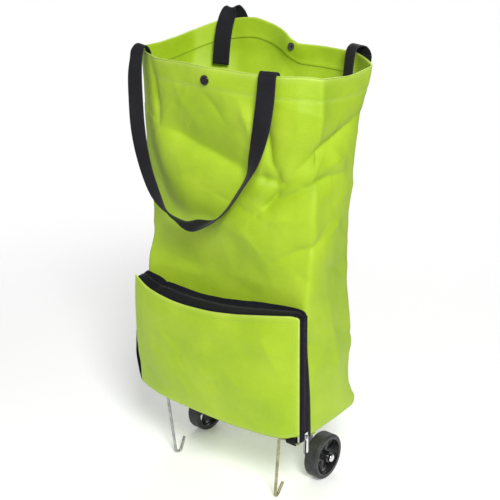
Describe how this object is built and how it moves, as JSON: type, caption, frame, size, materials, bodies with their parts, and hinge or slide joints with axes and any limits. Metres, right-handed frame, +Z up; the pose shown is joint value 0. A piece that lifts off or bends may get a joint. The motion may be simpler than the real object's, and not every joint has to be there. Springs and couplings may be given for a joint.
{
  "type": "wheeled shopping bag",
  "caption": "Foldable wheeled shopping bag with a zipped front pouch, two webbing handles, two wire hook legs and two spoked wheels.",
  "frame": {"origin": "on the ground, below the middle of the bag's overall box", "axes": "+X to the right of the bag seen from the front, +Y towards the back, away from the zipped pouch, +Z up"},
  "size_m": [0.3526, 0.2508, 0.7602],
  "materials": {
    "lime_polyester": "matte",
    "black_webbing": "matte",
    "zip_tape": "matte",
    "zip_teeth": "satin",
    "bright_metal": "polished",
    "zinc_wire": "satin",
    "snap_black": "satin",
    "bracket_steel": "satin",
    "wheel_plastic": "satin",
    "tyre_rubber": "matte",
    "base_board": "matte"
  },
  "bodies": {
    "bag": {"front_panel": "lime_polyester", "back_panel": "lime_polyester", "left_side_panel": "lime_polyester", "right_side_panel": "lime_polyester", "floor_panel": "lime_polyester", "base_board": "base_board", "rim_hem": "lime_polyester", "pouch_bottom": "lime_polyester", "zip_tape_rear": "zip_tape", "zip_teeth_rear": "zip_teeth", "zip_end_stops": "bright_metal", "front_left_strap_end": "black_webbing", "front_right_strap_end": "black_webbing", "rear_left_strap_end": "black_webbing", "rear_right_strap_end": "black_webbing", "snap_front_cap": "snap_black", "snap_front_socket": "snap_black", "snap_rear_cap": "snap_black", "snap_rear_stud": "snap_black", "left_leg_sleeve": "black_webbing", "right_leg_sleeve": "black_webbing", "left_wheel_bracket": "bracket_steel", "right_wheel_bracket": "bracket_steel", "left_stub_axle": "bracket_steel", "right_stub_axle": "bracket_steel", "left_axle_spacer": "bracket_steel", "right_axle_spacer": "bracket_steel", "left_axle_cap": "bright_metal", "right_axle_cap": "bright_metal", "bracket_rivets": "bracket_steel"},
    "pouch_flap": {"pouch_front_panel": "lime_polyester", "zip_tape_front": "zip_tape", "zip_teeth_front": "zip_teeth"},
    "zip_slider": {"zip_slider": "bright_metal"},
    "zip_pull": {"zip_pull": "bright_metal"},
    "front_handle": {"front_handle": "black_webbing"},
    "rear_handle": {"rear_handle": "black_webbing"},
    "left_leg": {"left_leg": "zinc_wire"},
    "right_leg": {"right_leg": "zinc_wire"},
    "left_wheel": {"left_wheel_rim": "wheel_plastic", "left_tyre": "tyre_rubber"},
    "right_wheel": {"right_wheel_rim": "wheel_plastic", "right_tyre": "tyre_rubber"}
  },
  "joints": [
    {"name": "pouch_open", "type": "hinge", "parent": "bag", "child": "pouch_flap", "pos_m": [0, -0.098, 0.134], "axis": [1, 0, 0], "range_deg": [0, 90]},
    {"name": "zip_slide", "type": "slide", "parent": "bag", "child": "zip_slider", "axis": [0, 0, 1], "range_m": [0, 0.183]},
    {"name": "zip_pull_swing", "type": "hinge", "parent": "zip_slider", "child": "zip_pull", "pos_m": [0.1749, -0.0832, 0.143], "axis": [0, -1, 0], "range_deg": [0, 170]},
    {"name": "front_handle_swing", "type": "hinge", "parent": "bag", "child": "front_handle", "pos_m": [-0.1536, -0.083, 0.695], "axis": [-0.9977, 0.0636, 0.0224], "range_deg": [0, 145]},
    {"name": "rear_handle_swing", "type": "hinge", "parent": "bag", "child": "rear_handle", "pos_m": [-0.09, 0.1165, 0.691], "axis": [0.9999, -0.0155, 0], "range_deg": [0, 145]},
    {"name": "left_leg_fold", "type": "hinge", "parent": "bag", "child": "left_leg", "pos_m": [-0.154, -0.078, 0.119], "axis": [1, 0, 0], "range_deg": [-80, 40]},
    {"name": "right_leg_fold", "type": "hinge", "parent": "bag", "child": "right_leg", "pos_m": [0.141, -0.078, 0.119], "axis": [1, 0, 0], "range_deg": [-80, 40]},
    {"name": "left_wheel_spin", "type": "hinge", "parent": "bag", "child": "left_wheel", "pos_m": [-0.13, 0.025, 0.039], "axis": [1, 0, 0], "continuous": true},
    {"name": "right_wheel_spin", "type": "hinge", "parent": "bag", "child": "right_wheel", "pos_m": [0.13, 0.025, 0.039], "axis": [1, 0, 0], "continuous": true}
  ]
}
